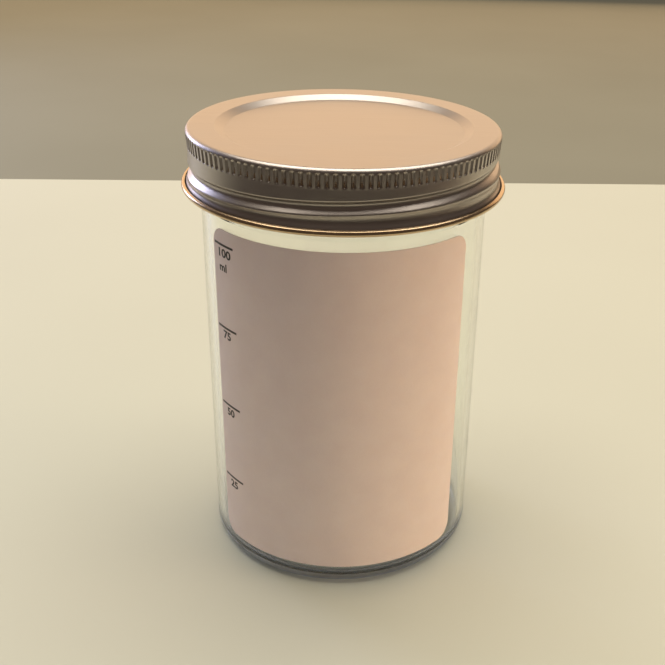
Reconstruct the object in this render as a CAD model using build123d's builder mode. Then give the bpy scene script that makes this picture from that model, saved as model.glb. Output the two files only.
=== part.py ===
"""Specimen container: a clear moulded jar, a pressed metal screw cap with its gasket, and a label.

Millimetres, +Z up. The origin is the middle of the jar's foot, on the surface that it stands on.
The label faces -Y, and an azimuth counts from there, anticlockwise seen from above.
"""
import os
from math import atan2, cos, degrees, radians, sin, tan

from build123d import *

# Jar: height, walls and base
jar_height = 76.1
foot_wall_radius = 24.22     # outside of the wall, carried down to the table
body_draft = 0.17            # degrees that the wall leans outward
wall = 1.2
floor_top = 1.4              # inside floor above the table
heel_radius = 1.9
inner_heel_radius = 1.5
foot_ring_width = 1.0
push_up = 0.4                # how far the underside is recessed inside the foot ring
push_up_slope = 0.8
gate_radius = 1.3            # mark of the mould's gate, under the base
gate_height = 0.15
rim_rounding = 0.25
rim_chamfer = 0.2            # around the mouth, inside

# Jar: neck under the cap
neck_length = 10.5
neck_step = 0.25             # how far the neck stands back from the body
shoulder_length = 0.6

# Jar: screw thread, one ridge
pitch = 4.7
ridge_height = 1.45
ridge_root_width = 2.4
ridge_crest_width = 0.8
ridge_crest_rounding = 0.2
ridge_turns = 1.1
ridge_run_out = 24.0         # degrees over which each end fades
root_overlap = 0.3           # how far the ridge is sunk into the neck
ridge_top_drop = 2.4         # rim down to the middle of the ridge's upper end
ridge_top_azimuth = 60.0
lift_off = 0.15              # how far a thread's chord clears its crest and its wall

# Cap: pressed sheet
sheet = 0.23
ridge_clearance = 0.4        # skirt over the ridge's crest
cap_corner_radius = 0.75
channel_width = 3.87         # flat top of the raised ring
panel_wall_width = 1.55
panel_depth = 0.77
panel_bend_radius = 0.5
knurl_count = 128
knurl_drop = 0.5             # cap top down to the upper end of the flutes
knurl_length = 2.5
flute_radius = 0.5
flute_depth = 0.11

# Cap: rolled-in thread, a groove outside and a bead inside
groove_depth = 0.8
groove_radius = 1.3
groove_flank = 45.0          # degrees that each flank leans
groove_turns = 0.62
groove_run_out = 32.0        # degrees over which each end fades
wheel_reach = 0.6            # how far out past the sheet the wheel's section is drawn
thread_drop = 1.8            # middle of the ridge down to the middle of the bead, when tight
groove_top_azimuth = 118.0

# Cap: flared and curled lower edge
flare_start = 7.9            # cap top down to where the skirt flares
flare_length = 1.7
flare_out = 0.49
curl_radius = 0.5
curl_wrap = 280.0            # degrees that the edge is rolled through

# Gasket in the cap's raised ring
gasket_thickness = 0.9
gasket_side_clearance = 0.2
gasket_inner_setback = 0.35
gasket_top_rounding = 0.55
gasket_lip_rounding = 0.2

# Label
label_start = -59.5          # azimuths of its upright edges
label_end = 53.9
label_base_gap = 3.86        # table up to its lower edge
label_top_gap = 1.67         # its upper edge up to the shoulder
label_thickness = 0.1
adhesive = 0.03
label_corner_radius = 2.9
corner_ease = 0.01           # how far each corner's arc runs out past the label's edges


def wall_radius(height):
    """Outside radius of the jar's leaning wall at this height."""
    return foot_wall_radius + height * tan(radians(body_draft))


def upright_plane(azimuth):
    """An upright plane through the axis, with X out of the jar at this azimuth and Y up."""
    outward = Vector(0, -1, 0).rotate(Axis.Z, azimuth)
    return Plane(origin=(0, 0, 0), x_dir=outward, z_dir=outward.rotate(Axis.Z, -90))


def tangent_plane(azimuth, height):
    """An upright plane that touches the wall, with X to the right and Y up as seen from outside."""
    outward = Vector(0, -1, 0).rotate(Axis.Z, azimuth)
    origin = outward * wall_radius(height) + Vector(0, 0, height)
    return Plane(origin=origin, x_dir=outward.rotate(Axis.Z, 90), z_dir=outward)


def placed(azimuth):
    """Turns a shape from the +X side to this azimuth."""
    return Location((0, 0, 0), (0, 0, azimuth - 90))


def fade_ends(full_radius, flush_radius, turns, run_out, waste_scale, base, height):
    """Cuts both ends of a thread along a chord, from its full size to nothing.

    The waste lies inside the chord where waste_scale is under one, and outside it where it is over one.
    """
    with BuildSketch(Plane.XY.offset(base)) as waste:
        for full_angle, flush_angle in ((run_out, 0), (360 * turns - run_out, 360 * turns)):
            full = Vector(full_radius, 0).rotate(Axis.Z, full_angle)
            flush = Vector(flush_radius, 0).rotate(Axis.Z, flush_angle)
            beyond = flush + (flush - full)
            Polygon(full, beyond, beyond * waste_scale, full * waste_scale, align=None)
    extrude(waste.sketch, amount=height, mode=Mode.SUBTRACT)


def rolled_thread(inset):
    """Sweeps the wheel that rolls the cap's thread, for the sheet's face this far in, and fades its ends."""
    with BuildLine() as path:
        Helix(pitch, pitch * groove_turns, skirt_radius, center=(0, 0, groove_bottom))
    centre = groove_radius - groove_depth
    crest_radius = groove_radius + inset
    flank_length = wheel_reach - centre + crest_radius * cos(radians(groove_flank))
    half_width = crest_radius * sin(radians(groove_flank)) + flank_length / tan(radians(groove_flank))
    start = Plane(origin=(skirt_radius, 0, groove_bottom), x_dir=(1, 0, 0), z_dir=(0, -1, 0))
    with BuildSketch(start) as section:
        with BuildLine():
            crest = CenterArc((centre, 0), crest_radius, 180 - groove_flank, 2 * groove_flank)
            Polyline(crest @ 1, (wheel_reach, -half_width), (wheel_reach, half_width), crest @ 0)
        make_face()
    sweep(section.sketch, path=path.line, is_frenet=True)
    fade_ends(
        full_radius=skirt_radius - groove_depth - inset - lift_off,
        flush_radius=skirt_radius - inset + lift_off,
        turns=groove_turns,
        run_out=groove_run_out,
        waste_scale=0.8,
        base=groove_bottom - half_width,
        height=pitch * groove_turns + 2 * half_width,
    )


def cap_outline(inset):
    """Draws half of the pressed form, this far inside the sheet's outer face, down to the roll."""
    panel_height = cap_top - panel_depth - inset
    slope_shift = inset * tan(atan2(panel_depth, panel_wall_width) / 2)
    FilletPolyline(
        (0, panel_height),
        (panel_radius + slope_shift, panel_height),
        (channel_inner_radius + slope_shift, cap_top - inset),
        (skirt_radius - inset, cap_top - inset),
        (skirt_radius - inset, flare_top),
        radius=[panel_bend_radius + inset, panel_bend_radius - inset, cap_corner_radius - inset],
    )
    out_bend = JernArc((skirt_radius - inset, flare_top), (0, -1), flare_bend_radius + inset, flare_bend)
    back_bend = JernArc(out_bend @ 1, out_bend % 1, flare_bend_radius - inset, -flare_bend)
    Polyline(back_bend @ 1, (0, flare_bottom), (0, panel_height))


def rolled_edge(inset):
    """Draws the roll of the cap's edge, this far inside the sheet's outer face."""
    return JernArc(
        (skirt_radius + flare_out - inset, flare_bottom), (0, -1), curl_radius - sheet + inset, curl_wrap
    )


# Heights and radii that follow from the sizes above
shoulder_height = jar_height - neck_length
body_top = shoulder_height - shoulder_length / 2
neck_bottom = shoulder_height + shoulder_length / 2
neck_radius = wall_radius(body_top) - neck_step
ridge_bottom = jar_height - ridge_top_drop - pitch * ridge_turns
ridge_crest_radius = neck_radius + ridge_height
ridge_slope = (ridge_root_width - ridge_crest_width) / 2 / ridge_height
sunk_half_width = ridge_root_width / 2 + ridge_slope * root_overlap

skirt_inner_radius = ridge_crest_radius + ridge_clearance
skirt_radius = skirt_inner_radius + sheet
roof_height = jar_height + gasket_thickness
cap_top = roof_height + sheet
channel_inner_radius = skirt_radius - cap_corner_radius - channel_width
panel_radius = channel_inner_radius - panel_wall_width
flare_top = cap_top - flare_start
flare_bottom = flare_top - flare_length

groove_top = (
    jar_height - ridge_top_drop - thread_drop + pitch * (groove_top_azimuth - ridge_top_azimuth) / 360
)
groove_bottom = groove_top - pitch * groove_turns
groove_angle = 360 * groove_turns
groove_bottom_azimuth = groove_top_azimuth - groove_angle
foot_radius = foot_wall_radius - heel_radius
flare_bend = 2 * degrees(atan2(flare_out, flare_length))
flare_bend_radius = flare_length / 2 / sin(radians(flare_bend))

# Ridge of the jar's thread, its lower end on the +X side
ridge_start = Plane(origin=(neck_radius, 0, ridge_bottom), x_dir=(1, 0, 0), z_dir=(0, -1, 0))
with BuildPart() as ridge:
    with BuildLine() as ridge_path:
        Helix(pitch, pitch * ridge_turns, neck_radius, center=(0, 0, ridge_bottom))
    with BuildSketch(ridge_start) as tooth:
        with BuildLine():
            Polyline(
                (-root_overlap, -sunk_half_width),
                (ridge_height, -ridge_crest_width / 2),
                (ridge_height, ridge_crest_width / 2),
                (-root_overlap, sunk_half_width),
                close=True,
            )
        make_face()
        fillet(tooth.vertices().group_by(Axis.X)[-1], ridge_crest_rounding)
    sweep(path=ridge_path.line, is_frenet=True)
    fade_ends(
        full_radius=ridge_crest_radius + lift_off,
        flush_radius=neck_radius - lift_off,
        turns=ridge_turns,
        run_out=ridge_run_out,
        waste_scale=1.2,
        base=ridge_bottom - ridge_root_width,
        height=pitch * ridge_turns + 2 * ridge_root_width,
    )

# Jar body: outside, then the ridge, then the cavity, so that nothing of the ridge shows inside
with BuildPart() as jar_body:
    with BuildSketch(Plane.XZ) as jar_outside:
        with BuildLine():
            Polyline(
                (0, push_up),
                (foot_radius - foot_ring_width - push_up_slope, push_up),
                (foot_radius - foot_ring_width, 0),
                (wall_radius(0), 0),
                (wall_radius(body_top), body_top),
                (neck_radius, neck_bottom),
                (neck_radius, jar_height),
                (0, jar_height),
                close=True,
            )
        make_face()
        fillet(jar_outside.vertices().group_by(Axis.Y)[0].sort_by(Axis.X)[-1], heel_radius)
        fillet(jar_outside.vertices().group_by(Axis.Y)[-1].sort_by(Axis.X)[-1], rim_rounding)
    revolve(axis=Axis.Z)
    with Locations(placed(ridge_top_azimuth - 360 * ridge_turns)):
        add(ridge.part)
    with BuildSketch(Plane.XZ) as cavity:
        with BuildLine():
            Polyline(
                (0, floor_top),
                (wall_radius(floor_top) - wall, floor_top),
                (wall_radius(jar_height) - wall, jar_height - rim_chamfer),
                (wall_radius(jar_height) - wall + rim_chamfer, jar_height),
                (0, jar_height),
                close=True,
            )
        make_face()
        fillet(cavity.vertices().group_by(Axis.Y)[0].sort_by(Axis.X)[-1], inner_heel_radius)
    revolve(axis=Axis.Z, mode=Mode.SUBTRACT)
    with BuildSketch(Plane.XY.offset(push_up - gate_height)):
        Circle(gate_radius)
    extrude(amount=gate_height)
jar_body.part.label = "jar_body"

# Cap shell: the pressed form's outside less its inside, then the rolled edge
with BuildPart() as groove:
    rolled_thread(0)

with BuildPart() as bead:
    rolled_thread(sheet)

with BuildPart() as cap_outside:
    with BuildSketch(Plane.XZ):
        with BuildLine():
            cap_outline(0)
        make_face()
    revolve(axis=Axis.Z)
    with Locations(placed(groove_bottom_azimuth)):
        add(groove.part, mode=Mode.SUBTRACT)
    with BuildSketch(Plane.XY.offset(cap_top - knurl_drop)):
        with PolarLocations(skirt_radius + flute_radius - flute_depth, knurl_count):
            Circle(flute_radius)
    extrude(amount=-knurl_length, mode=Mode.SUBTRACT)

with BuildPart() as cap_inside:
    with BuildSketch(Plane.XZ):
        with BuildLine():
            cap_outline(sheet)
        make_face()
    revolve(axis=Axis.Z)
    with Locations(placed(groove_bottom_azimuth)):
        add(bead.part, mode=Mode.SUBTRACT)

with BuildPart() as cap_shell:
    add(cap_outside.part)
    add(cap_inside.part, mode=Mode.SUBTRACT)
    with BuildSketch(Plane.XZ):
        with BuildLine():
            outer_face = rolled_edge(0)
            inner_face = rolled_edge(sheet)
            Line(outer_face @ 0, inner_face @ 0)
            Line(outer_face @ 1, inner_face @ 1)
        make_face()
    revolve(axis=Axis.Z)
cap_shell.part.label = "cap_shell"

# Gasket, a ring that fills the cap's raised ring
with BuildPart() as cap_gasket:
    with BuildSketch(Plane.XZ) as gasket_section:
        with BuildLine():
            Polyline(
                (channel_inner_radius + gasket_inner_setback, jar_height),
                (skirt_inner_radius - gasket_side_clearance, jar_height),
                (skirt_inner_radius - gasket_side_clearance, roof_height),
                (channel_inner_radius + gasket_inner_setback, roof_height),
                close=True,
            )
        make_face()
        fillet(gasket_section.vertices().group_by(Axis.Y)[0], gasket_lip_rounding)
        fillet(gasket_section.vertices().group_by(Axis.Y)[-1], gasket_top_rounding)
    revolve(axis=Axis.Z)
cap_gasket.part.label = "cap_gasket"

# Label, a sheet that follows the wall from one azimuth to the other
label_low = label_base_gap
label_high = body_top - label_top_gap
corner_waste = 2 * label_corner_radius
corner_inset = label_corner_radius - corner_ease
with BuildPart() as label:
    with BuildSketch(upright_plane(label_start)):
        with BuildLine():
            Polyline(
                (wall_radius(label_low) + adhesive, label_low),
                (wall_radius(label_low) + adhesive + label_thickness, label_low),
                (wall_radius(label_high) + adhesive + label_thickness, label_high),
                (wall_radius(label_high) + adhesive, label_high),
                close=True,
            )
        make_face()
    revolve(axis=Axis.Z, revolution_arc=label_end - label_start)
    for azimuth, side in ((label_start, -1), (label_end, 1)):
        for height, up in ((label_low, -1), (label_high, 1)):
            centre_azimuth = azimuth - side * degrees(corner_inset / wall_radius(height))
            across = side * corner_waste
            along = up * corner_waste
            with BuildSketch(tangent_plane(centre_azimuth, height - up * corner_inset)):
                Polygon((0, 0), (across, 0), (across, along), (0, along), align=None)
                Circle(label_corner_radius, mode=Mode.SUBTRACT)
            extrude(amount=wall, both=True, mode=Mode.SUBTRACT)
label.part.label = "label"

os.makedirs("parts", exist_ok=True)
export_step(jar_body.part, "parts/jar_body.step")
export_step(cap_shell.part, "parts/cap_shell.step")
export_step(cap_gasket.part, "parts/cap_gasket.step")
export_step(label.part, "parts/label.step")
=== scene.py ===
# %% [markdown]
# # A specimen container: clear jar, metal screw cap, sealing ring and paper label
#
# The measured solids come first. They are loaded as a fixed frame, in metres, with Z up and the label facing
# -Y. Every surface made below takes the place of one of those solids and moves with the same body, so the cap
# still unscrews. Sizes are written in millimetres, as a maker would write them, and turned into metres once.

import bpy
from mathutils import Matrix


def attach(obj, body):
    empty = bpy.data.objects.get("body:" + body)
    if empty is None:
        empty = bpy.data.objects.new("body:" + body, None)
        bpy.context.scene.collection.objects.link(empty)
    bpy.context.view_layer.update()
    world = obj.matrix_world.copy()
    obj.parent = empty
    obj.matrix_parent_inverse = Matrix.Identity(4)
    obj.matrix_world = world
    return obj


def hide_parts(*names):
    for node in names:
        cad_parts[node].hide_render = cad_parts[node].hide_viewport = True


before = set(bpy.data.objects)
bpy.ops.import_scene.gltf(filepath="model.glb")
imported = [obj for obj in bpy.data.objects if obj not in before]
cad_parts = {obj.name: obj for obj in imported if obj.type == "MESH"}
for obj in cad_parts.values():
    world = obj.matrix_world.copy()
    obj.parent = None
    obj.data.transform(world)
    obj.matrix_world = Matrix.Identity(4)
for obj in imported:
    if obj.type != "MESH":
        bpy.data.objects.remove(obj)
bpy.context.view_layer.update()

# %% Tools of the trade
import math

import bpy
import numpy as np
from mathutils import Matrix, Vector

MM = 0.001

# %% [markdown]
# ## Drawing a section
#
# Jar, cap and sealing ring are all round, so each starts as a section: points of radius and height, in
# millimetres. Moulded and pressed corners are never sharp, because a sharp corner would crack or tear. They
# are drawn as arcs, with one more point just before and after each arc, so that the shading of a long flat
# run isn't bent by the corner at its end.

# %% Arcs and rounded corners
def arc(centre, radius, start, end, steps):
    """Points on a circle: centre plus radius times (cosine, sine) of evenly spaced angles in degrees."""
    angle = np.radians(np.linspace(start, end, steps + 1))
    return np.array(centre) + radius * np.stack([np.cos(angle), np.sin(angle)], axis=-1)


def rounded(corners, steps=8, hold=0.12):
    """A line through corners given as (radius, height, rounding), each corner turned into an arc.

    The arc touches both runs at rounding * tan(half the turn) from the corner. Its points are the corner's
    first touching point, turned about the arc's centre by an even share of the whole turn.
    """
    points = [np.array(corners[0][:2])]
    for before, here, after in zip(corners, corners[1:], corners[2:]):
        corner, rounding = np.array(here[:2]), here[2]
        if rounding == 0:
            points.append(corner)
            continue
        way_in = corner - np.array(before[:2])
        way_out = np.array(after[:2]) - corner
        way_in = way_in / np.hypot(*way_in)
        way_out = way_out / np.hypot(*way_out)
        turn = math.atan2(way_in[0] * way_out[1] - way_in[1] * way_out[0], way_in @ way_out)
        reach = rounding * math.tan(abs(turn) / 2)
        first = corner - way_in * reach
        aside = np.array([-way_in[1], way_in[0]]) * math.copysign(rounding, turn)
        angle = np.linspace(0, turn, steps + 1)[:, None]
        spoke = -aside
        turned = np.concatenate([
            spoke[0] * np.cos(angle) - spoke[1] * np.sin(angle),
            spoke[0] * np.sin(angle) + spoke[1] * np.cos(angle),
        ], axis=1)
        points += [first - way_in * hold, *(first + aside + turned), corner + way_out * (reach + hold)]
    points.append(np.array(corners[-1][:2]))
    return np.array(points)


# %% [markdown]
# ## From a section to a closed skin
#
# A section is carried round the axis in rings of vertices. Azimuth 0 faces the viewer and grows to the
# right. The fine knurl needs four times as many columns as the rest of the cap, so rings may differ in their
# number of columns, and one many-sided face then joins a coarse column to its fine ones. The skin closes with
# one vertex on the axis at each end, or joins its last ring to its first.

# %% Rings, faces and the mesh
def ring_grid(radius, height, columns):
    """Rings of points, as (rings, columns, 3): x = radius * sin(azimuth), y = -radius * cos(azimuth)."""
    azimuth = np.arange(columns) * 2 * np.pi / columns
    radius, height, azimuth = np.broadcast_arrays(radius, height, azimuth[None, :])
    return np.stack([radius * np.sin(azimuth), -radius * np.cos(azimuth), height], axis=-1)


def revolved(section, columns):
    """A section carried round the axis: every (radius, height) of it at every azimuth."""
    return ring_grid(section[:, :1], section[:, 1:], columns)


def strip(low, low_columns, high, high_columns):
    """Faces between two rings that start at vertices low and high: the lower vertices, then the upper."""
    coarse = min(low_columns, high_columns)
    column = np.arange(coarse)[:, None]
    low_share, high_share = low_columns // coarse, high_columns // coarse
    low_side = low + (column * low_share + np.arange(low_share + 1)) % low_columns
    high_side = high + (column * high_share + np.arange(high_share, -1, -1)) % high_columns
    return np.concatenate([low_side, high_side], axis=1)


def closed_skin(name, grids, ends=None):
    """A mesh object from grids of rings, each with the index of its material.

    Neighbouring rings are joined by strips of faces. ends gives the heights of the two vertices on the axis,
    and without them the last ring is joined to the first.
    """
    rings = []
    count = 0
    for grid, finish in grids:
        for _ in grid:
            rings.append((count, grid.shape[1], finish))
            count += grid.shape[1]
    vertices = np.concatenate([grid.reshape(-1, 3) for grid, _ in grids])
    pairs = list(zip(rings, rings[1:])) + ([] if ends else [(rings[-1], rings[0])])
    faces = []
    finishes = []
    for (low, low_columns, finish), (high, high_columns, _) in pairs:
        made = strip(low, low_columns, high, high_columns)
        faces += made.tolist()
        finishes += [finish] * len(made)
    if ends:
        vertices = np.concatenate([vertices, [[0, 0, ends[0]], [0, 0, ends[1]]]])
        poles = ((rings[0], count, (1, 0)), (rings[-1], count + 1, (0, 1)))
        for (ring, columns, finish), pole, order in poles:
            column = np.arange(columns)
            side = np.stack([ring + (column + step) % columns for step in order], axis=-1)
            faces += np.concatenate([side, np.full((columns, 1), pole)], axis=1).tolist()
            finishes += [finish] * columns
    return make_piece(name, vertices, faces, finishes)


def make_piece(name, vertices, faces, finishes=None, sharp_above=50):
    """Puts millimetre vertices and their faces into a smooth shaded object at the origin."""
    mesh = bpy.data.meshes.new(name)
    mesh.from_pydata((np.asarray(vertices) * MM).tolist(), [], faces)
    mesh.polygons.foreach_set("use_smooth", np.ones(len(mesh.polygons), dtype=bool))
    if finishes is not None:
        mesh.polygons.foreach_set("material_index", np.array(finishes, dtype=np.int32))
    mesh.set_sharp_from_angle(angle=math.radians(sharp_above))
    mesh.update()
    piece = bpy.data.objects.new(name, mesh)
    bpy.context.scene.collection.objects.link(piece)
    size = np.ptp(np.asarray(vertices), axis=0)
    triangles = sum(len(face) - 2 for face in faces)
    print(f"{name}: {size[0]:.2f} x {size[1]:.2f} x {size[2]:.2f} mm, {triangles} triangles")
    return piece


# %% [markdown]
# ## Where a screw thread is, and how it ends
#
# A thread is a section that climbs one pitch for each turn. At an azimuth and a height, its shape depends
# only on how far the point lies above or below the thread's middle there. Real threads fade at both ends,
# because the wheel or the mould's insert leaves the wall on a straight path, so the ends are cut along a
# chord. It starts a little before the wall and ends a little past the crest, so it crosses both at an angle.

# %% Thread helpers
PAST_FACE = 0.15


def along_thread(azimuth, first_azimuth):
    """Degrees along a thread from its lower end to this azimuth, within the first turn."""
    return (azimuth - first_azimuth) % 360


def chord(angle, start_radius, end_radius, span):
    """Radius of the straight line from start_radius at 0 degrees to end_radius at span degrees.

    It is both radii times sin(span), over start * sin(angle) + end * sin(span - angle).
    """
    angle, span = np.radians(angle), math.radians(span)
    return start_radius * end_radius * math.sin(span) / (
        start_radius * np.sin(angle) + end_radius * np.sin(span - angle)
    )


def soft_min(a, b, blend):
    """The lower of two values, less (blend - difference) squared over 4 * blend where they nearly meet."""
    near = np.maximum(blend - np.abs(a - b), 0)
    return np.minimum(a, b) - near**2 / (4 * blend)


# %% [markdown]
# ## The jar
#
# The real jar is one injection moulding in clear polystyrene. It is straight-sided, with a hair of draft so
# that it leaves the mould, a foot ring round a raised underside, a small mark in the middle of the base where
# the plastic came in, and one screw thread outside the neck. Light passes through both faces of the wall, so
# the wall has to be a closed skin of the true thickness, and the thread has to be part of it: a second solid
# pushed into the wall would show as a false face inside the plastic. The thread is therefore a swelling of
# the neck's radius on a fine grid of rings.

# %% Jar sizes
JAR_HEIGHT = 76.1
FOOT_WALL_RADIUS = 24.22
DRAFT = math.tan(math.radians(0.17))
WALL = 1.2
PITCH = 4.7
BODY_TOP, NECK_BOTTOM = 65.3, 65.9
NECK_STEP = 0.25
NECK_RADIUS = FOOT_WALL_RADIUS + BODY_TOP * DRAFT - NECK_STEP
RIDGE_HEIGHT, RIDGE_TURNS, RIDGE_RUN_OUT = 1.45, 1.1, 24.0
RIDGE_HALF_ROOT, RIDGE_HALF_CREST, RIDGE_EASING = 1.2, 0.4, 0.08
RIDGE_BELOW_RIM = 2.4
RIDGE_TOP_AZIMUTH, RIDGE_TOP = 60.0, JAR_HEIGHT - RIDGE_BELOW_RIM
RIM_ROUNDING, RIM_BEVEL = 0.25, 0.2
print(f"neck radius {NECK_RADIUS:.2f} mm, top of the moulded thread at {RIDGE_TOP:.2f} mm")


def wall_radius(height):
    """Outside radius of the leaning wall: the radius at the foot plus height times the draft's slope."""
    return FOOT_WALL_RADIUS + height * DRAFT


# %% Jar: the moulded thread
def neck_face(azimuth, height):
    """Radius of the neck: its cylinder plus the ridge.

    The ridge's height is its full height times how far a point has come up the flank, held between 0 and 1,
    less a little of the sine of that share's full turn, and no more than the chord at either end.
    """
    length = 360 * RIDGE_TURNS
    radius = np.full(np.broadcast(azimuth, height).shape, NECK_RADIUS)
    for turn in range(math.ceil(RIDGE_TURNS)):
        angle = along_thread(azimuth, RIDGE_TOP_AZIMUTH - length) + 360 * turn
        middle = RIDGE_TOP - PITCH * (length - angle) / 360
        climb = (RIDGE_HALF_ROOT - np.abs(height - middle)) / (RIDGE_HALF_ROOT - RIDGE_HALF_CREST)
        climb = np.clip(climb, 0, 1)
        ridge = NECK_RADIUS + RIDGE_HEIGHT * (climb - RIDGE_EASING * np.sin(2 * np.pi * climb))
        from_end = np.minimum(angle, length - angle)
        fading = chord(np.clip(from_end, 0, RIDGE_RUN_OUT), NECK_RADIUS - PAST_FACE,
                       NECK_RADIUS + RIDGE_HEIGHT + PAST_FACE, RIDGE_RUN_OUT)
        ridge = np.where(from_end < RIDGE_RUN_OUT, np.minimum(ridge, fading), ridge)
        ridge = np.where(from_end < 0, NECK_RADIUS, ridge)
        radius = np.maximum(radius, ridge)
    return radius


# %% Jar: section and skin
JAR_COLUMNS, NECK_RING_STEP = 320, 0.1
UNDERSIDE, FLOOR_TOP = 0.4, 1.4
GATE_RADIUS, GATE_BOTTOM = 1.3, 0.25
FOOT_RING_IN, FOOT_RING_FLAT, HEEL_ROUNDING = 20.52, 21.32, 1.9
INSIDE_RADIUS = wall_radius(JAR_HEIGHT) - WALL
NEAR_AXIS = 0.05

jar_outside = rounded([
    (NEAR_AXIS, GATE_BOTTOM, 0),
    (GATE_RADIUS, GATE_BOTTOM, 0.06),
    (GATE_RADIUS, UNDERSIDE, 0.04),
    (FOOT_RING_IN, UNDERSIDE, 0.5),
    (FOOT_RING_FLAT, 0, 0.25),
    (wall_radius(0), 0, HEEL_ROUNDING),
    (wall_radius(BODY_TOP), BODY_TOP, 0.25),
    (NECK_RADIUS, NECK_BOTTOM, 0.25),
    (NECK_RADIUS, NECK_BOTTOM + 0.3, 0),
], hold=0.02)
neck_heights = np.arange(NECK_BOTTOM + 0.4, JAR_HEIGHT - RIM_ROUNDING - 0.05, NECK_RING_STEP)[:, None]
column_azimuths = (np.arange(JAR_COLUMNS) * 360 / JAR_COLUMNS)[None, :]
jar_inside = rounded([
    (NECK_RADIUS, JAR_HEIGHT - RIM_ROUNDING - 0.1, 0),
    (NECK_RADIUS, JAR_HEIGHT, RIM_ROUNDING),
    (INSIDE_RADIUS + RIM_BEVEL, JAR_HEIGHT, 0.08),
    (INSIDE_RADIUS, JAR_HEIGHT - RIM_BEVEL, 0.08),
    (wall_radius(0) - WALL, FLOOR_TOP, 1.5),
    (NEAR_AXIS, FLOOR_TOP, 0),
], hold=0.02)
jar = closed_skin("jar_moulding", [
    (revolved(jar_outside, JAR_COLUMNS), 0),
    (ring_grid(neck_face(column_azimuths, neck_heights), neck_heights, JAR_COLUMNS), 0),
    (revolved(jar_inside, JAR_COLUMNS), 0),
], ends=(GATE_BOTTOM, FLOOR_TOP))
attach(jar, "jar")
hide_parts("jar_body")

# %% [markdown]
# ## The cap
#
# The real cap starts as a disc of tinned steel sheet, 0.23 mm thick. A press draws it into a shallow cup and
# presses the panel down inside a raised ring, a toothed wheel rolls the knurl, a smooth wheel rolls the
# thread, and the edge is curled outward so that nobody meets a cut edge. The skin follows the same sheet: it
# starts under the panel, runs down inside the skirt, round the curl, and up the outside again. Three features
# are worked into the radius of the skirt's rings: the rolled thread, the bulge of metal just below it, and
# the flutes of the knurl.

# %% Cap sizes
CAP_TOP = 77.23
SHEET = 0.23
SKIRT_RADIUS, KNURL_RADIUS = 26.244, 26.4
BAND_DROP, BAND_DROP_HEIGHT, BAND_DROP_LENGTH = 0.05, 71.5, 0.25
CAP_CORNER, INNER_CORNER_STEP = 0.85, 0.08
CHANNEL_INNER, PANEL_RADIUS, PANEL_DEPTH, PANEL_BEND = 21.62, 20.07, 0.77, 0.5
GROOVE_DEPTH, GROOVE_RADIUS, GROOVE_TURNS, GROOVE_RUN_OUT = 0.62, 0.75, 0.62, 32.0
GROOVE_FLANK, GROOVE_BLEND, GROOVE_UNDER_RIDGE, NO_GROOVE = math.radians(45), 0.14, 1.5, 5.0
GROOVE_TOP_AZIMUTH = 118.0
GROOVE_TOP = RIDGE_TOP - GROOVE_UNDER_RIDGE + PITCH * (GROOVE_TOP_AZIMUTH - RIDGE_TOP_AZIMUTH) / 360
BULGE_OUT, BULGE_MIDDLE, BULGE_HALF_WIDTH, BULGE_BELOW = 0.29, 70.6, 0.58, 0.92
FLARE_TOP, FLARE_BOTTOM, FLARE_OUT = 69.33, 67.63, 0.49
CURL_RADIUS, CURL_WRAP = 0.5, 280.0
COLUMNS, KNURL_COLUMNS, FLUTES = 320, 1280, 128
INNER_RING_STEP, OUTER_RING_STEP = 0.21, 0.11
print(f"top of the rolled thread at {GROOVE_TOP:.2f} mm, flutes {360 / FLUTES:.2f} degrees apart")


# %% Cap: skirt, rolled thread and flare
def plain_skirt(height, inset):
    """Radius of the skirt without its thread, this far inside the outer face.

    Above the flare it is a cylinder. The flare is two equal arcs that turn outward and back: centre radius
    less, then plus, the root of arc radius squared less height difference squared.
    """
    bend = 2 * math.atan2(FLARE_OUT, FLARE_TOP - FLARE_BOTTOM)
    bend_radius = (FLARE_TOP - FLARE_BOTTOM) / 2 / math.sin(bend)
    middle = (FLARE_TOP + FLARE_BOTTOM) / 2
    out_radius, back_radius = bend_radius + inset, bend_radius - inset
    out_bend = SKIRT_RADIUS + bend_radius - np.sqrt(np.maximum(out_radius**2 - (FLARE_TOP - height)**2, 0))
    back_bend = SKIRT_RADIUS + FLARE_OUT - bend_radius + np.sqrt(
        np.maximum(back_radius**2 - (height - FLARE_BOTTOM)**2, 0))
    flare = np.where(height > middle, out_bend, back_bend)
    return np.where(height > FLARE_TOP, SKIRT_RADIUS - inset, flare)


def swelling(height, below):
    """How far the metal stands out round the height below, less the drop to the plain band above.

    The bulge is BULGE_OUT times e to minus the square of distance over BULGE_HALF_WIDTH. The drop is
    BAND_DROP over one plus e to the power of depth under BAND_DROP_HEIGHT over BAND_DROP_LENGTH.
    """
    bulge = BULGE_OUT * np.exp(-(((height - below) / BULGE_HALF_WIDTH) ** 2))
    return bulge - BAND_DROP / (1 + np.exp((BAND_DROP_HEIGHT - height) / BAND_DROP_LENGTH))


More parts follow.
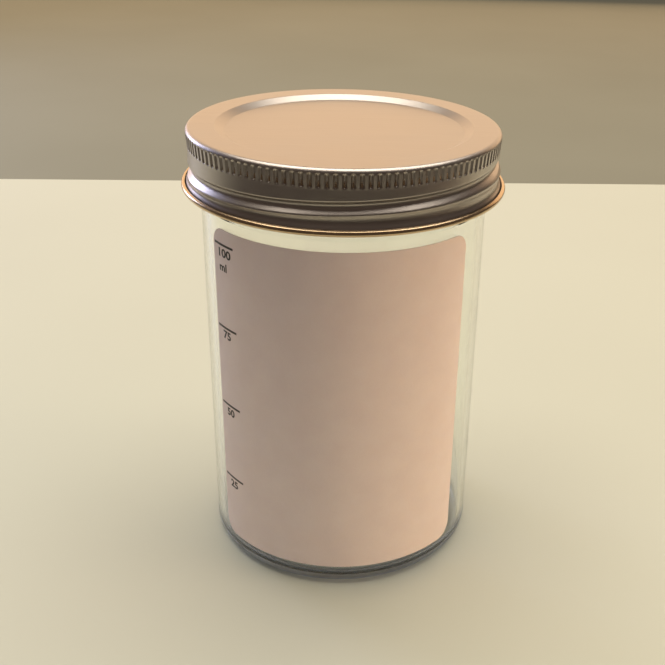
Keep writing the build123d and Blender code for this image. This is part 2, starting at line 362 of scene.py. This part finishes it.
def skirt_face(azimuth, height, inset):
    """Radius of the skirt with its rolled thread, this far inside the outer face.

    The wheel's section is an arc that ends in a straight flank on each side, at the thread's middle height
    there. The face is the lower of skirt and section, and at each end no lower than a chord. The bulge stays
    at its own height where the thread is well above it, and else keeps a fixed distance below the thread,
    eased in at both ends by three squares less two cubes of the share of the run-out.
    """
    length = 360 * GROOVE_TURNS
    angle = along_thread(azimuth, GROOVE_TOP_AZIMUTH - length)
    middle = GROOVE_TOP - PITCH * (length - angle) / 360
    away = np.abs(height - middle)
    crest = GROOVE_RADIUS + inset
    shoulder = crest * math.sin(GROOVE_FLANK)
    centre = SKIRT_RADIUS - GROOVE_DEPTH + GROOVE_RADIUS
    section = centre - np.sqrt(np.maximum(crest**2 - away**2, 0))
    flank = centre - crest * math.cos(GROOVE_FLANK) + (away - shoulder) * math.tan(GROOVE_FLANK)
    section = np.where(away > shoulder, flank, section)
    from_end = np.minimum(angle, length - angle)
    fading = chord(np.clip(from_end, 0, GROOVE_RUN_OUT), SKIRT_RADIUS - inset + PAST_FACE,
                   SKIRT_RADIUS - GROOVE_DEPTH - inset - PAST_FACE, GROOVE_RUN_OUT)
    section = np.where(from_end < GROOVE_RUN_OUT, np.maximum(section, fading), section)
    section = np.where(angle > length, SKIRT_RADIUS + NO_GROOVE, section)
    share = np.clip(from_end / GROOVE_RUN_OUT, 0, 1)
    below = BULGE_MIDDLE + share**2 * (3 - 2 * share) * np.minimum(middle - BULGE_BELOW - BULGE_MIDDLE, 0)
    return soft_min(section, plain_skirt(height, inset) + swelling(height, below), GROOVE_BLEND)


# %% Cap: knurl
KNURL_BOTTOM, FLUTE_LOW, FLUTE_HIGH = 74.05, 74.6, 76.3
FLUTE_HALF_WIDTH, FLUTE_DEPTH = 0.37, 0.36


def fluted(azimuth, section):
    """Radius of the knurled band: the section's radius less the depth of the flute that a point lies in.

    A flute is a long round-ended trough. Its depth is full at its centre line and falls with the square of
    the distance from it, counted beyond both ends as distance from the last point of the line.
    """
    radius, height = section[:, :1], section[:, 1:]
    pitch = 360 / FLUTES
    across = np.radians((azimuth + pitch / 2) % pitch - pitch / 2) * KNURL_RADIUS
    beyond = np.maximum(np.maximum(FLUTE_LOW - height, height - FLUTE_HIGH), 0)
    distance = np.hypot(across, beyond) / FLUTE_HALF_WIDTH
    return radius - FLUTE_DEPTH * np.clip(1 - distance**2, 0, 1)


# %% Cap: sections and skin
corner_centre = (KNURL_RADIUS - CAP_CORNER, CAP_TOP - CAP_CORNER)
panel_height = CAP_TOP - PANEL_DEPTH
panel_slope = math.atan2(PANEL_DEPTH, CHANNEL_INNER - PANEL_RADIUS)
slope_shift = SHEET * math.tan(panel_slope / 2)
inner_skirt_top = CAP_TOP - CAP_CORNER
inner_corner_radius = SKIRT_RADIUS - SHEET - INNER_CORNER_STEP

under_panel = rounded([
    (NEAR_AXIS, panel_height - SHEET, 0),
    (PANEL_RADIUS + slope_shift, panel_height - SHEET, PANEL_BEND + SHEET),
    (CHANNEL_INNER + slope_shift, CAP_TOP - SHEET, PANEL_BEND - SHEET),
    (inner_corner_radius, CAP_TOP - SHEET, CAP_CORNER - SHEET),
    (inner_corner_radius, inner_skirt_top - 0.3, 0),
], steps=6)
coarse_azimuths = (np.arange(COLUMNS) * 360 / COLUMNS)[None, :]
fine_azimuths = (np.arange(KNURL_COLUMNS) * 360 / KNURL_COLUMNS)[None, :]
inner_heights = np.arange(inner_skirt_top - 0.5, FLARE_BOTTOM, -INNER_RING_STEP)[:, None]
outer_heights = np.arange(FLARE_BOTTOM + 0.1, KNURL_BOTTOM - 0.1, OUTER_RING_STEP)[:, None]
curl_centre = (SKIRT_RADIUS + FLARE_OUT + CURL_RADIUS - SHEET, FLARE_BOTTOM)
curl_outside = arc(curl_centre, CURL_RADIUS, 180, 180 + CURL_WRAP, 24)
curl_inside = arc(curl_centre, CURL_RADIUS - SHEET, 180 + CURL_WRAP, 180, 15)

# The rings of the knurl lie closest at the flutes' round lower ends. The corner above it passes from fine to
# coarse columns halfway round, between its two arcs.
band_radius = SKIRT_RADIUS - BAND_DROP
rib_heights = np.concatenate([
    [KNURL_BOTTOM - 0.02],
    np.linspace(FLUTE_LOW - 0.4, FLUTE_LOW + 0.1, 9),
    np.linspace(FLUTE_LOW + 0.3, inner_skirt_top, 10),
])
rib_share = (rib_heights - rib_heights[0]) / (rib_heights[-1] - rib_heights[0])
knurl_section = np.concatenate([
    np.stack([band_radius + (KNURL_RADIUS - band_radius) * rib_share, rib_heights], axis=-1),
    arc(corner_centre, CAP_CORNER, 3, 42, 7),
])
top_section = np.concatenate([
    arc(corner_centre, CAP_CORNER, 48, 90, 6),
    rounded([
        (corner_centre[0] - 0.15, CAP_TOP, 0),
        (CHANNEL_INNER, CAP_TOP, PANEL_BEND - 0.1),
        (PANEL_RADIUS, panel_height, PANEL_BEND),
        (NEAR_AXIS, panel_height, 0),
    ], steps=6),
])
OUTSIDE, INSIDE = 0, 1
cap = closed_skin("cap_pressing", [
    (revolved(under_panel, COLUMNS), INSIDE),
    (ring_grid(skirt_face(coarse_azimuths, inner_heights, SHEET), inner_heights, COLUMNS), INSIDE),
    (revolved(curl_outside, COLUMNS), INSIDE),
    (revolved(curl_inside, COLUMNS), OUTSIDE),
    (ring_grid(skirt_face(coarse_azimuths, outer_heights, 0), outer_heights, COLUMNS), OUTSIDE),
    (ring_grid(fluted(fine_azimuths, knurl_section), knurl_section[:, 1:], KNURL_COLUMNS), OUTSIDE),
    (revolved(top_section, COLUMNS), OUTSIDE),
], ends=(panel_height - SHEET, panel_height))
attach(cap, "cap")
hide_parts("cap_shell")

# %% [markdown]
# ## The sealing ring
#
# Caps of this kind are lined with a soft compound, poured as a liquid into the raised ring and baked. It
# fills the channel and presses on the jar's rim. It is a closed ring, so its section is a loop without ends,
# which starts and stops on the flat lower face.

# %% Sealing ring
SEAL_IN, SEAL_OUT, SEAL_COLUMNS = 21.97, 25.75, 256
SEAL_TOP = CAP_TOP - SHEET - 0.01
LOOP_START, LOOP_STOP = 23.9, 23.6

ring_loop = rounded([
    (LOOP_START, JAR_HEIGHT, 0),
    (SEAL_OUT, JAR_HEIGHT, 0.2),
    (SEAL_OUT, SEAL_TOP, 0.62),
    (SEAL_IN, SEAL_TOP, 0.55),
    (SEAL_IN, JAR_HEIGHT, 0.2),
    (LOOP_STOP, JAR_HEIGHT, 0),
], steps=5)
sealing_ring = closed_skin("cap_sealing_ring", [(revolved(ring_loop, SEAL_COLUMNS), 0)])
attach(sealing_ring, "cap_lining")
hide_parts("cap_gasket")

# %% [markdown]
# ## The label
#
# A cut piece of self-adhesive paper with round corners, a tenth of a millimetre thick, follows the wall over
# a third of its way round. It is laid out flat first, in millimetres from its upper left corner, and then
# wrapped: a distance across the paper becomes an angle, and a distance down becomes a height. The same
# wrapping puts the printing in its place, so print and paper can't drift apart.

# %% Wrapping flat artwork round the jar
LABEL_START, LABEL_END = -59.5, 53.9
LABEL_LOW, LABEL_HIGH = 3.86, BODY_TOP - 1.67
LABEL_CORNER = 2.9
LABEL_GAP, PAPER = 0.03, 0.1
LABEL_RADIUS = wall_radius((LABEL_LOW + LABEL_HIGH) / 2) + LABEL_GAP + PAPER
LABEL_WIDTH = math.radians(LABEL_END - LABEL_START) * LABEL_RADIUS
print(f"flat label {LABEL_WIDTH:.1f} x {LABEL_HIGH - LABEL_LOW:.1f} mm")


def wrap(across, down, lift):
    """Places flat points on the jar, this far off its wall.

    The azimuth is the label's start plus across / radius, and the height is the label's top less down.
    """
    azimuth = math.radians(LABEL_START) + across / LABEL_RADIUS
    height = LABEL_HIGH - down
    radius = wall_radius(height) + LABEL_GAP + lift
    return np.stack([radius * np.sin(azimuth), -radius * np.cos(azimuth), height], axis=-1)


def sheet_skin(across, down, thickness, lift=0.0):
    """A thin closed sheet: a grid wrapped twice, a thickness apart, with a strip of faces round its edge."""
    rows, columns = across.shape
    front = wrap(across, down, lift + thickness).reshape(-1, 3)
    back = wrap(across, down, lift).reshape(-1, 3)
    index = np.arange(rows * columns).reshape(rows, columns)
    quads = np.stack([index[1:, :-1], index[1:, 1:], index[:-1, 1:], index[:-1, :-1]], axis=-1).reshape(-1, 4)
    edge = np.concatenate([index[-1, :-1], index[::-1, -1][:-1], index[0, ::-1][:-1], index[:-1, 0]])
    after = np.roll(edge, -1)
    behind = rows * columns
    sides = np.stack([edge, edge + behind, after + behind, after], axis=-1)
    faces = np.concatenate([quads, quads[:, ::-1] + behind, sides])
    return np.concatenate([front, back]), faces


# %% Paper label
CORNER_STEPS, DOWN_STEPS, ACROSS_STEPS = 14, 30, 120

corner_turn = np.radians(np.linspace(0, 90, CORNER_STEPS + 1))
corner_down = LABEL_CORNER * (1 - np.cos(corner_turn))
corner_in = LABEL_CORNER * (1 - np.sin(corner_turn))
label_height = LABEL_HIGH - LABEL_LOW
straight = np.linspace(LABEL_CORNER, label_height - LABEL_CORNER, DOWN_STEPS + 1)[1:-1]
down = np.concatenate([corner_down, straight, label_height - corner_down[::-1]])[:, None]
drawn_in = np.concatenate([corner_in, np.zeros(len(straight)), corner_in[::-1]])[:, None]
across = drawn_in + np.linspace(0, 1, ACROSS_STEPS + 1)[None, :] * (LABEL_WIDTH - 2 * drawn_in)
across, down = np.broadcast_arrays(across, down)
label_vertices, label_faces = sheet_skin(across, down, PAPER)
label = make_piece("paper_label", label_vertices, label_faces.tolist(), sharp_above=40)
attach(label, "jar")
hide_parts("label")

# %% [markdown]
# ## The printed scale
#
# The label carries a filling scale: four marks a quarter of 100 ml apart, with a number under each. The
# numbers are set as text, turned into a mesh, scaled to the size measured for them and wrapped like the
# paper. Each has the thickness of a heavy film of ink, so that it stays a proper solid and never fights with
# the paper.

# %% Marks and numbers
INK, STROKE_GROWTH, HALF_DEPTH = 0.012, 0.03, 0.5
MARK_LEFT, MARK_RIGHT, MARK_WEIGHT, MARK_COLUMNS = 0.43, 5.8, 0.4, 25
MARKS = (2.5, 17.38, 32.26, 47.13)

# Words, then left, top, width and height on the flat label.
NUMBERS = (
    ("100", 1.75, 3.3, 3.4, 1.55),
    ("ml", 1.8, 5.85, 2.1, 1.45),
    ("75", 2.0, 18.1, 2.2, 1.55),
    ("50", 2.0, 33.0, 2.2, 1.55),
    ("25", 2.0, 47.9, 2.2, 1.55),
)


def set_text(words, left, top, width, height):
    """A text's mesh, scaled to this width and height, moved to its place on the flat label and wrapped."""
    curve = bpy.data.curves.new("numerals", "FONT")
    curve.body = words
    curve.extrude = HALF_DEPTH
    curve.offset = STROKE_GROWTH
    curve.resolution_u = 4
    holder = bpy.data.objects.new("numerals", curve)
    mesh = bpy.data.meshes.new_from_object(holder)
    flat = np.empty(len(mesh.vertices) * 3)
    mesh.vertices.foreach_get("co", flat)
    flat = flat.reshape(-1, 3)
    flat[:, :2] -= flat[:, :2].min(axis=0)
    flat[:, :2] *= np.array([width, height]) / flat[:, :2].max(axis=0)
    faces = [list(face.vertices) for face in mesh.polygons]
    vertices = wrap(left + flat[:, 0], top + height - flat[:, 1], PAPER + INK * (flat[:, 2] + HALF_DEPTH))
    bpy.data.objects.remove(holder)
    bpy.data.curves.remove(curve)
    bpy.data.meshes.remove(mesh)
    return vertices, faces


def printed_bar(left, right, top, weight):
    """A printed line: a grid of one row between two heights, wrapped as a sheet of ink."""
    across, down = np.meshgrid(np.linspace(left, right, MARK_COLUMNS), [top, top + weight])
    vertices, faces = sheet_skin(across, down, INK, lift=PAPER)
    return vertices, faces.tolist()


printing = [printed_bar(MARK_LEFT, MARK_RIGHT, top, MARK_WEIGHT) for top in MARKS]
printing += [set_text(*number) for number in NUMBERS]
print_vertices, print_faces, used = [], [], 0
for vertices, faces in printing:
    print_vertices.append(vertices)
    print_faces += [[corner + used for corner in face] for face in faces]
    used += len(vertices)
label_print = make_piece("label_print", np.concatenate(print_vertices), print_faces, sharp_above=30)
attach(label_print, "jar")

# %% [markdown]
# ## Finishes
#
# Each finish is a small network of nodes on one physical shader. The helpers keep them short: a pattern
# helper adds one node and gives back the socket that it ends in, so that patterns can be put inside each
# other like sums. They read Object coordinates, in metres, so a grain of a quarter of a millimetre has the
# scale 4000.

# %% Colour and node helpers
def swatch(code):
    """Linear colour of an sRGB hex code.

    It is c / 12.92 for c up to 0.04045, and above that (c + 0.055) / 1.055 to the power 2.4.
    """
    channels = np.array([int(code[i:i + 2], 16) for i in (0, 2, 4)]) / 255
    linear = np.where(channels <= 0.04045, channels / 12.92, ((channels + 0.055) / 1.055) ** 2.4)
    return (*linear.tolist(), 1.0)


def feed(tree, node, inputs):
    """Sets a node's inputs. Each is a plain value or the socket of another node."""
    for socket, value in inputs.items():
        if isinstance(value, bpy.types.NodeSocket):
            tree.links.new(value, node.inputs[socket])
        else:
            node.inputs[socket].default_value = value


def add_node(tree, kind, inputs=None, **settings):
    """Adds a node with its settings and feeds its inputs."""
    node = tree.nodes.new(kind)
    for name, value in settings.items():
        setattr(node, name, value)
    feed(tree, node, inputs or {})
    return node


def start_material(name):
    """A material with an empty network, its shader, and the Object coordinates that its patterns read."""
    material = bpy.data.materials.new(name)
    material.use_nodes = True
    tree = material.node_tree
    tree.nodes.clear()
    shader = add_node(tree, "ShaderNodeBsdfPrincipled")
    add_node(tree, "ShaderNodeOutputMaterial", {"Surface": shader.outputs["BSDF"]})
    place = add_node(tree, "ShaderNodeTexCoord").outputs["Object"]
    return material, tree, shader, place


def mix_output(tree, share, first, second):
    """Sends a mix of two shaders to the material's output: the second by this share, else the first."""
    shaders = {0: share, 1: first.outputs["BSDF"], 2: second.outputs["BSDF"]}
    output = next(node for node in tree.nodes if node.type == "OUTPUT_MATERIAL")
    feed(tree, output, {"Surface": add_node(tree, "ShaderNodeMixShader", shaders).outputs["Shader"]})


# %% Pattern helpers
def stretched(tree, place, scale):
    """Coordinates multiplied by one factor along each axis."""
    return add_node(tree, "ShaderNodeMapping", {"Vector": place, "Scale": scale}).outputs["Vector"]


def component(tree, place, axis):
    """One of the three coordinates."""
    return add_node(tree, "ShaderNodeSeparateXYZ", {"Vector": place}).outputs[axis]


def vector_length(tree, place):
    """The root of the sum of the squared coordinates."""
    return add_node(tree, "ShaderNodeVectorMath", {0: place}, operation="LENGTH").outputs["Value"]


def noise(tree, place, scale, detail, roughness=0.5, distortion=0.0):
    """A cloudy pattern between 0 and 1: clouds 1 / scale wide, with this many levels of finer ones."""
    inputs = {"Vector": place, "Scale": scale, "Detail": detail, "Roughness": roughness,
              "Distortion": distortion}
    return add_node(tree, "ShaderNodeTexNoise", inputs).outputs["Fac"]


def arithmetic(tree, operation, *values):
    """One step of arithmetic, on plain values or sockets."""
    return add_node(tree, "ShaderNodeMath", dict(enumerate(values)), operation=operation).outputs["Value"]


def ramp(tree, value, start, end, low=0.0, high=1.0, easing="LINEAR"):
    """Low at the start and before it, high at the end and past it, and in between by the share of the way."""
    inputs = {"Value": value, "From Min": start, "From Max": end, "To Min": low, "To Max": high}
    return add_node(tree, "ShaderNodeMapRange", inputs, interpolation_type=easing).outputs["Result"]


def blend(tree, share, tones):
    """A colour that goes from the first swatch to the second as the share goes from 0 to 1."""
    inputs = {"Factor": share, "A": swatch(tones[0]), "B": swatch(tones[1])}
    return add_node(tree, "ShaderNodeMix", inputs, data_type="RGBA").outputs["Result"]


def raised(tree, pattern, strength, depth):
    """The normal of a surface that the pattern raises by up to this depth in metres, at this strength."""
    inputs = {"Height": pattern, "Strength": strength, "Distance": depth}
    return add_node(tree, "ShaderNodeBump", inputs).outputs["Normal"]


# %% [markdown]
# ### Clear moulded polystyrene
#
# Crystal polystyrene is the clearest of the cheap plastics and bends light strongly, which gives a jar its
# bright edges. A polished mould leaves it glossy. Flow and cooling leave a slight waviness about a centimetre
# long, handling leaves the finest haze, and the foot, which slides on shelves, is scuffed to a soft blur. The
# heel is tinted a dark blue-grey towards the table: painted shade for the dark contact band under the foot.
# Shadow rays pass mostly straight through, because a thin clear wall hardly shades the table. At the heel
# they take the same painted tint, which darkens the shadow there.

# %% Jar material
# The second tone is painted shade: a dark blue-grey for the contact band at the heel.
CLEAR_AND_HEEL_SHADE_TONES = ("FCFDFA", "8F9CAE")
HEEL_IN, HEEL_OUT = 0.0195, 0.0215
HEEL_FULL_BELOW, HEEL_GONE_ABOVE = 0.0006, 0.004
LEAST_HAZE, MOST_HAZE, SCUFF = 0.01, 0.05, 0.42
SHADOW_PASSED = 0.8

polystyrene, tree, shader, place = start_material("moulded_crystal_polystyrene")
from_axis = vector_length(tree, stretched(tree, place, (1.0, 1.0, 0.0)))
outer = ramp(tree, from_axis, HEEL_IN, HEEL_OUT)
low = ramp(tree, component(tree, place, "Z"), HEEL_FULL_BELOW, HEEL_GONE_ABOVE, 1.0, 0.0)
# The heel mask paints shade into the tint and also sets the real scuffed roughness of the foot.
heel_shade_and_scuff = arithmetic(tree, "MULTIPLY", outer, low)
haze = ramp(tree, noise(tree, place, 180.0, 3.0), 0.0, 1.0, LEAST_HAZE, MOST_HAZE)
tone_with_painted_heel_shade = blend(tree, heel_shade_and_scuff, CLEAR_AND_HEEL_SHADE_TONES)
feed(tree, shader, {
    "Transmission Weight": 1.0,
    "IOR": 1.59,
    "Base Color": tone_with_painted_heel_shade,
    "Roughness": arithmetic(tree, "MULTIPLY_ADD", heel_shade_and_scuff, SCUFF, haze),
    "Normal": raised(tree, noise(tree, place, 90.0, 1.0), 0.15, 0.00005),
})
shadow_ray = add_node(tree, "ShaderNodeLightPath").outputs["Is Shadow Ray"]
passed = add_node(tree, "ShaderNodeBsdfTransparent", {"Color": tone_with_painted_heel_shade})
mix_output(tree, arithmetic(tree, "MULTIPLY", shadow_ray, SHADOW_PASSED), shader, passed)
jar.data.materials.append(polystyrene)
print("jar:", polystyrene.name)

# %% [markdown]
# ### Lacquered tinplate
#
# The cap's outside is tinned steel under a clear satin lacquer. The sheet keeps fine lines from the rolling
# mill, all in one direction, and the lacquer has a soft orange-peel grain. Together they spread a reflection
# into a broad sheen. The inside has a gold lacquer, which shows outside only on the curled edge, because the
# curl turns the sheet's inner face outward. Two noises added together lie mostly between 0.6 and 1.4.

# %% Cap materials
MILL_LINES = (60.0, 2600.0, 2600.0)
SUM_LOW, SUM_HIGH = 0.6, 1.4


def tinplate(name, tones, shiny, dull):
    """Tinned steel: metal, with roughness between two values, mill lines along X and a fine lacquer grain."""
    material, tree, shader, place = start_material(name)
    lines = noise(tree, stretched(tree, place, MILL_LINES), 1.0, 2.0)
    cloud = noise(tree, place, 70.0, 4.0)
    grain = noise(tree, place, 3500.0, 2.0)
    feed(tree, shader, {
        "Metallic": 1.0,
        "Base Color": blend(tree, cloud, tones),
        "Roughness": ramp(tree, arithmetic(tree, "ADD", cloud, lines), SUM_LOW, SUM_HIGH, shiny, dull),
        "Normal": raised(tree, arithmetic(tree, "ADD", grain, lines), 0.12, 0.00004),
    })
    return material


outside_lacquer = tinplate("satin_lacquered_tinplate", ("B9B1AB", "C6BEB6"), 0.3, 0.4)
inside_lacquer = tinplate("gold_lacquered_tinplate", ("CBB08C", "D6BE9C"), 0.2, 0.28)
cap.data.materials.append(outside_lacquer)
cap.data.materials.append(inside_lacquer)
print("cap:", outside_lacquer.name, inside_lacquer.name)

# %% [markdown]
# ### Sealing compound
#
# The baked compound is a soft, matt, cream rubber with a slightly uneven skin.

# %% Sealing ring material
compound, tree, shader, place = start_material("baked_sealing_compound")
patches = noise(tree, place, 400.0, 3.0)
feed(tree, shader, {
    "Base Color": blend(tree, patches, ("D9D2BF", "E6E0D0")),
    "Roughness": 0.55,
    "Normal": raised(tree, patches, 0.3, 0.00005),
})
sealing_ring.data.materials.append(compound)
print("sealing ring:", compound.name)

# %% [markdown]
# ### Label paper and ink
#
# Uncoated label paper is matt, a little warm, and made of fibres about a millimetre long and a fiftieth of a
# millimetre thick. They are drawn somewhat coarser so that they show. Some light passes through the sheet, so
# it glows softly where light comes from behind. The ink is a thin dark film with a slight gloss.

# %% Paper and ink materials
FIBRE_STRETCH = (1.0, 1.0, 0.45)

paper, tree, shader, place = start_material("uncoated_label_paper")
fibres = noise(tree, stretched(tree, place, FIBRE_STRETCH), 5500.0, 4.0, roughness=0.7, distortion=1.5)
mottle = noise(tree, place, 220.0, 3.0)
shade = ramp(tree, arithmetic(tree, "ADD", fibres, mottle), SUM_LOW, SUM_HIGH)
feed(tree, shader, {
    "Base Color": blend(tree, shade, ("DACCC9", "E2D6D2")),
    "Roughness": 0.7,
    "Subsurface Weight": 0.4,
    "Subsurface Radius": (1.0, 0.8, 0.6),
    "Subsurface Scale": 0.0003,
    "Normal": raised(tree, fibres, 0.25, 0.00003),
})
label.data.materials.append(paper)

ink, tree, shader, place = start_material("black_printing_ink")
feed(tree, shader, {
    "Base Color": blend(tree, noise(tree, place, 6000.0, 2.0), ("1A1412", "2B2320")),
    "Roughness": 0.45,
})
label_print.data.materials.append(ink)
print("label:", paper.name, ink.name)

# %% [markdown]
# ## The stage
#
# The container stands on a plain pale table top that ends about 20 cm behind it, a little nearer on the left,
# above a plain floor 3 cm lower. None of it belongs to the object.

# %% Table and floor
TABLE_REACH, TABLE_BACK_LEFT, TABLE_BACK_RIGHT = 1.5, 0.171, 0.249
FLOOR_SIDE, FLOOR_FRONT, FLOOR_BACK, FLOOR_HEIGHT = 8.0, -3.0, 9.0, -0.03


def stage_plane(name, left, right, front, back_left, back_right, height, tones, roughness):
    """A flat four-cornered face with a plain matt finish that varies a little."""
    corners = [(left, front), (right, front), (right, back_right), (left, back_left)]
    plane = make_piece(name, np.array([(*corner, height) for corner in corners]) / MM, [[0, 1, 2, 3]])
    material, tree, shader, place = start_material(name + "_paint")
    feed(tree, shader, {
        "Base Color": blend(tree, noise(tree, place, 9.0, 2.0), tones),
        "Roughness": roughness,
    })
    plane.data.materials.append(material)


stage_plane("table_top", -TABLE_REACH, TABLE_REACH, -TABLE_REACH, TABLE_BACK_LEFT, TABLE_BACK_RIGHT, 0.0,
            ("CFD1C0", "D7DAC8"), 0.55)
stage_plane("floor", -FLOOR_SIDE, FLOOR_SIDE, FLOOR_FRONT, FLOOR_BACK, FLOOR_BACK, FLOOR_HEIGHT,
            ("8B8A79", "949382"), 0.8)

# %% [markdown]
# ## Light
#
# Satin metal shows the room more than it shows itself, so the room is built to suit it, as for a product
# photograph. A broad soft light overhead lights the table and draws the bright line along the cap's rim. A
# wide warm panel behind fills the cap's flat top. A small warm light to the right brightens the paper's right
# side, a low one at the front left fills its left side, and a cool one behind to the left leaves the bluish
# streaks on the left flank. The two that only fill aren't mirrored by the metal.

# %% Soft lights
def softbox(name, place, target, size, radiance, colour, mirrored=True):
    """A rectangular light turned to face the target. Its power is radiance * pi * area.

    It isn't seen by the camera, nor through the clear jar.
    """
    lamp = bpy.data.lights.new(name, "AREA")
    lamp.shape = "RECTANGLE"
    lamp.size, lamp.size_y = size
    lamp.energy = radiance * math.pi * size[0] * size[1]
    lamp.color = swatch(colour)[:3]
    holder = bpy.data.objects.new(name, lamp)
    holder.location = place
    holder.rotation_euler = (Vector(target) - Vector(place)).to_track_quat("-Z", "Y").to_euler()
    holder.visible_camera = holder.visible_transmission = False
    holder.visible_glossy = mirrored
    bpy.context.scene.collection.objects.link(holder)


# Name, place, target, size in metres, radiance and colour.
softbox("light_overhead", (0.03, 0.2, 0.85), (0.03, 0.2, 0), (1.1, 0.7), 3.4, "FFF7EA")
softbox("light_back_panel", (0.0, 0.9, 0.3), (0, 0, 0.15), (2.2, 0.6), 1.33, "FFD8AC")
softbox("light_right", (0.4, -0.13, 0.04), (0, 0, 0.03), (0.25, 0.14), 14.5, "FFDDB8", mirrored=False)
softbox("light_left_window", (-0.5, 0.45, 0.22), (0, 0, 0.07), (0.2, 0.3), 6.0, "C9D4FF")
softbox("light_front_fill", (-0.5, -0.42, 0.07), (0, 0, 0.03), (0.4, 0.16), 4.2, "FFF0EA", mirrored=False)

world = bpy.data.worlds.new("dim_room")
world.use_nodes = True
feed(world.node_tree, world.node_tree.nodes["Background"], {"Color": swatch("B09A8C"), "Strength": 0.2})
bpy.context.scene.world = world

# %% [markdown]
# ### The dark card
#
# A dark card lies on the table in front, where the camera can't see it. The cap's skirt mirrors it, which
# keeps the skirt much darker than the top. It is a part of a wide ring, and it fades at its inner edge and
# towards the back, so that it leaves no line on the table.

# %% Dark card
CARD_IN, CARD_OUT, CARD_ABOVE = 90.0, 1500.0, 0.5
CARD_HALF_TURN, CARD_COLUMNS = 115, 47
CARD_BEGINS, CARD_FULL = 0.09, 0.16
BACK_BARE, BACK_FULL = 0.4, -0.3

card_turn = np.radians(np.linspace(-CARD_HALF_TURN, CARD_HALF_TURN, CARD_COLUMNS))[None, :]
card_reach = np.array([CARD_IN, CARD_OUT])[:, None]
card_grid = np.stack(np.broadcast_arrays(
    card_reach * np.sin(card_turn), -card_reach * np.cos(card_turn), CARD_ABOVE), axis=-1)
near_edge = np.arange(CARD_COLUMNS - 1)
far_edge = near_edge + CARD_COLUMNS
card_faces = np.stack([far_edge, far_edge + 1, near_edge + 1, near_edge], axis=-1)
card = make_piece("dark_card", card_grid.reshape(-1, 3), card_faces.tolist())

card_paint, tree, shader, place = start_material("dark_card_paint")
feed(tree, shader, {"Base Color": swatch("45403E"), "Roughness": 0.9})
from_jar = vector_length(tree, place)
far_enough = ramp(tree, from_jar, CARD_BEGINS, CARD_FULL, easing="SMOOTHSTEP")
towards_back = arithmetic(tree, "DIVIDE", component(tree, place, "Y"), from_jar)
front_enough = ramp(tree, towards_back, BACK_BARE, BACK_FULL, easing="SMOOTHSTEP")
bare = add_node(tree, "ShaderNodeBsdfTransparent")
mix_output(tree, arithmetic(tree, "MULTIPLY", far_enough, front_enough), bare, shader)
card.data.materials.append(card_paint)
card.visible_camera = card.visible_transmission = card.visible_shadow = False

# %% [markdown]
# ## Camera
#
# The camera stands where the photograph's perspective puts it: 167 mm in front of the jar's axis and 120 mm
# above the table, looking 25 degrees down. It sees as wide as a 55 mm lens on a 36 mm sensor, and a shift of
# the frame stands for the crop of the picture.

# %% Camera at the photograph's angle
PITCH_DOWN, YAW, ROLL = (math.radians(angle) for angle in (25.4485, 3.6662, 2.0678))
STANDPOINT = (0, -0.16705, 0.12036)
LENS, SENSOR, NEAREST = 54.57, 36.0, 0.01
SHIFT_X, SHIFT_Y = -0.1041, -0.0180

level_reach = math.cos(PITCH_DOWN)
forward = Vector((math.sin(YAW) * level_reach, math.cos(YAW) * level_reach, -math.sin(PITCH_DOWN)))
level = Vector((math.cos(YAW), -math.sin(YAW), 0))
upright = level.cross(forward)
right = level * math.cos(ROLL) + upright * math.sin(ROLL)
up = upright * math.cos(ROLL) - level * math.sin(ROLL)

camera_data = bpy.data.cameras.new("camera")
camera_data.lens = LENS
camera_data.sensor_width = SENSOR
camera_data.shift_x, camera_data.shift_y = SHIFT_X, SHIFT_Y
camera_data.clip_start = NEAREST
camera = bpy.data.objects.new("camera", camera_data)
turned = Matrix((right, up, -forward)).transposed().to_4x4()
camera.matrix_world = Matrix.Translation(STANDPOINT) @ turned
bpy.context.scene.collection.objects.link(camera)
bpy.context.scene.camera = camera
bpy.context.scene.view_settings.view_transform = "Standard"
print("camera at", tuple(round(value, 4) for value in camera.location))
